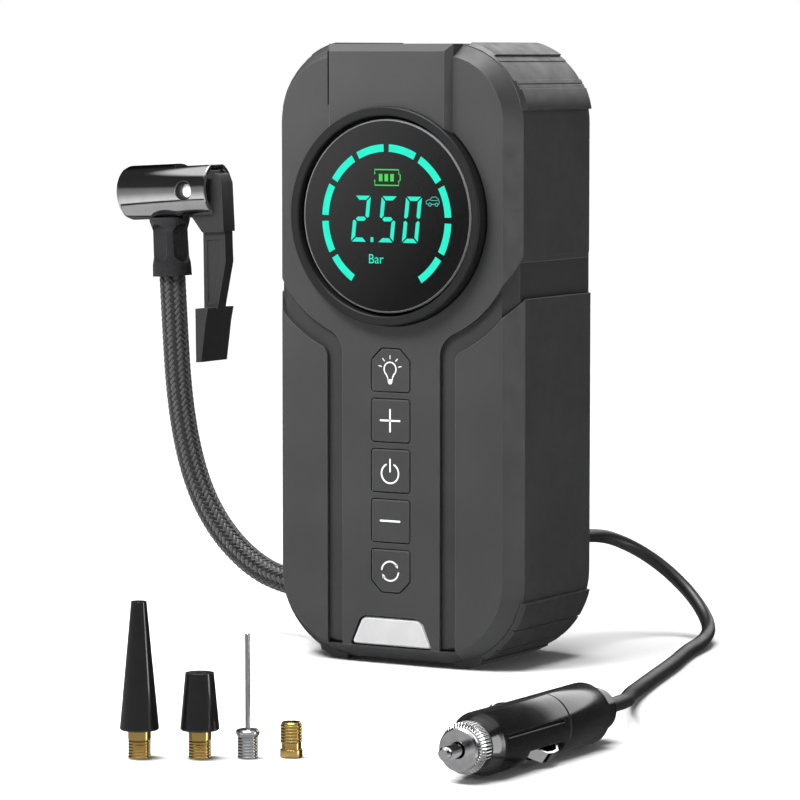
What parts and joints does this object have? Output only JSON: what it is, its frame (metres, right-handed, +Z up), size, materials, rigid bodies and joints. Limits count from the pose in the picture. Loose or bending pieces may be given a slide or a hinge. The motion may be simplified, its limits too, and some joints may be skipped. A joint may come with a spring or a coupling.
{
  "type": "portable tire inflator",
  "caption": "Upright handheld electric air pump with round display, button column and lamp, braided hose with lever chuck, cord with vehicle socket plug, and loose nozzles.",
  "frame": {"origin": "on the floor under the middle of the casing, at the centre of its base pad", "axes": "+Z up, the display faces -Y, +X towards the right-hand side of that face"},
  "size_m": [0.2827, 0.337, 0.2211],
  "materials": {
    "casing_black": "matte",
    "panel_grey": "fine matte texture",
    "bumper_grey": "matte",
    "bezel_black": "satin with fine bright rings",
    "display_glass": "gloss",
    "display_module": "matte",
    "circuit_board": "satin",
    "switch_metal": "satin",
    "lamp_lens": "frosted",
    "cell_wrap": "satin",
    "holder_black": "matte",
    "pump_alloy": "cast",
    "motor_steel": "brushed",
    "steel": "ground",
    "gear_nylon": "satin",
    "brass": "machined",
    "ring_black": "matte",
    "inner_tube": "satin",
    "boot_rubber": "matte",
    "hose_braid": "black and grey herringbone braid",
    "ferrule_black": "satin",
    "pin_bright": "satin, bright faced ends",
    "chrome": "polished",
    "seal_rubber": "matte",
    "lever_black": "satin",
    "cord_black": "satin",
    "plug_black": "gloss",
    "nozzle_black": "gloss",
    "button_grey": "fine matte texture",
    "black_screw": "satin"
  },
  "bodies": {
    "casing": {"front_cover": "casing_black", "rear_cover": "casing_black", "face_panel": "panel_grey", "right_cheek_panel": "panel_grey", "left_cheek_panel": "panel_grey", "bumper_top_right": "bumper_grey", "bumper_top_left": "bumper_grey", "bumper_bottom_right": "bumper_grey", "bumper_bottom_left": "bumper_grey", "display_bezel": "bezel_black", "display_glass": "display_glass", "display_module": "display_module", "control_board": "circuit_board", "tact_switches": "switch_metal", "lamp_lens": "lamp_lens", "lamp_board": "circuit_board", "battery_cells": "cell_wrap", "battery_holder": "holder_black", "pump_frame": "pump_alloy", "motor_can": "motor_steel", "cylinder": "pump_alloy", "cylinder_head": "pump_alloy", "air_tube": "inner_tube", "pressure_sensor": "holder_black", "hose_gland": "boot_rubber", "air_hose": "hose_braid", "hose_ferrule": "ferrule_black", "chuck_barrel": "chrome", "chuck_seal": "seal_rubber", "chuck_cheeks": "lever_black", "lever_pin": "pin_bright", "cord_relief": "cord_black", "power_cord": "cord_black", "plug_body": "plug_black", "plug_nose_ring": "chrome", "cover_screws": "black_screw"},
    "mode_button": {"mode_button": "button_grey"},
    "minus_button": {"minus_button": "button_grey"},
    "power_button": {"power_button": "button_grey"},
    "plus_button": {"plus_button": "button_grey"},
    "light_button": {"light_button": "button_grey"},
    "motor_rotor": {"motor_shaft": "steel", "drive_pinion": "brass"},
    "crank": {"crank_gear": "gear_nylon", "crank_shaft": "steel", "crank_pin": "steel"},
    "connecting_rod": {"connecting_rod": "pump_alloy"},
    "piston": {"piston": "pump_alloy", "piston_ring": "ring_black"},
    "chuck_lever": {"chuck_lever": "lever_black"},
    "clamp_sleeve": {"clamp_sleeve": "brass"},
    "plug_tip": {"plug_tip": "chrome"},
    "plug_contact_right": {"plug_contact_right": "chrome"},
    "plug_contact_left": {"plug_contact_left": "chrome"},
    "long_nozzle": {"long_nozzle": "nozzle_black", "long_nozzle_stem": "brass"},
    "short_nozzle": {"short_nozzle": "nozzle_black", "short_nozzle_stem": "brass"},
    "ball_needle": {"ball_needle": "steel"},
    "presta_adapter": {"presta_adapter": "brass"}
  },
  "joints": [
    {"name": "mode_press", "type": "slide", "parent": "casing", "child": "mode_button", "axis": [0, 1, 0], "range_m": [0, 0.0008], "stiffness_N_per_m": 3000, "springref_m": -0.0002},
    {"name": "minus_press", "type": "slide", "parent": "casing", "child": "minus_button", "axis": [0, 1, 0], "range_m": [0, 0.0008], "stiffness_N_per_m": 3000, "springref_m": -0.0002},
    {"name": "power_press", "type": "slide", "parent": "casing", "child": "power_button", "axis": [0, 1, 0], "range_m": [0, 0.0008], "stiffness_N_per_m": 3000, "springref_m": -0.0002},
    {"name": "plus_press", "type": "slide", "parent": "casing", "child": "plus_button", "axis": [0, 1, 0], "range_m": [0, 0.0008], "stiffness_N_per_m": 3000, "springref_m": -0.0002},
    {"name": "light_press", "type": "slide", "parent": "casing", "child": "light_button", "axis": [0, 1, 0], "range_m": [0, 0.0008], "stiffness_N_per_m": 3000, "springref_m": -0.0002},
    {"name": "crank_spin", "type": "hinge", "parent": "casing", "child": "crank", "pos_m": [0, 0.005, 0.0461], "axis": [1, 0, 0], "continuous": true},
    {"name": "motor_spin", "type": "hinge", "parent": "casing", "child": "motor_rotor", "pos_m": [0, 0.005, 0.022], "axis": [1, 0, 0], "continuous": true},
    {"name": "rod_pivot", "type": "hinge", "parent": "crank", "child": "connecting_rod", "pos_m": [0.012, 0.005, 0.0501], "axis": [1, 0, 0], "continuous": true},
    {"name": "piston_slide", "type": "slide", "parent": "casing", "child": "piston", "axis": [0, 0, 1], "range_m": [-0.008, 0]},
    {"name": "lever_swing", "type": "hinge", "parent": "casing", "child": "chuck_lever", "pos_m": [-0.10152, 0, 0.16658], "axis": [0, -1, 0], "range_deg": [0, 40]},
    {"name": "sleeve_slide", "type": "slide", "parent": "casing", "child": "clamp_sleeve", "axis": [0.9986, 0, 0.0523], "range_m": [0, 0.0009]},
    {"name": "tip_press", "type": "slide", "parent": "casing", "child": "plug_tip", "axis": [0, 1, 0], "range_m": [0, 0.004], "stiffness_N_per_m": 400, "springref_m": -0.002},
    {"name": "contact_right_press", "type": "slide", "parent": "casing", "child": "plug_contact_right", "axis": [-0.8192, 0, 0.5736], "range_m": [0, 0.0026], "stiffness_N_per_m": 900, "springref_m": -0.0005},
    {"name": "contact_left_press", "type": "slide", "parent": "casing", "child": "plug_contact_left", "axis": [0.8192, 0, -0.5736], "range_m": [0, 0.0026], "stiffness_N_per_m": 900, "springref_m": -0.0005},
    {"name": "long_nozzle_lift", "type": "slide", "parent": "casing", "child": "long_nozzle", "axis": [0, 0, 1], "range_m": [0, 0.05]},
    {"name": "short_nozzle_lift", "type": "slide", "parent": "casing", "child": "short_nozzle", "axis": [0, 0, 1], "range_m": [0, 0.05]},
    {"name": "ball_needle_lift", "type": "slide", "parent": "casing", "child": "ball_needle", "axis": [0, 0, 1], "range_m": [0, 0.05]},
    {"name": "presta_adapter_lift", "type": "slide", "parent": "casing", "child": "presta_adapter", "axis": [0, 0, 1], "range_m": [0, 0.05]}
  ],
  "couplings": [
    {"joint": "motor_spin", "follows": "crank_spin", "ratio": -4},
    {"joint": "rod_pivot", "follows": "crank_spin", "ratio": -1},
    {"joint": "sleeve_slide", "follows": "lever_swing", "m_per_rad": 0.00128}
  ]
}
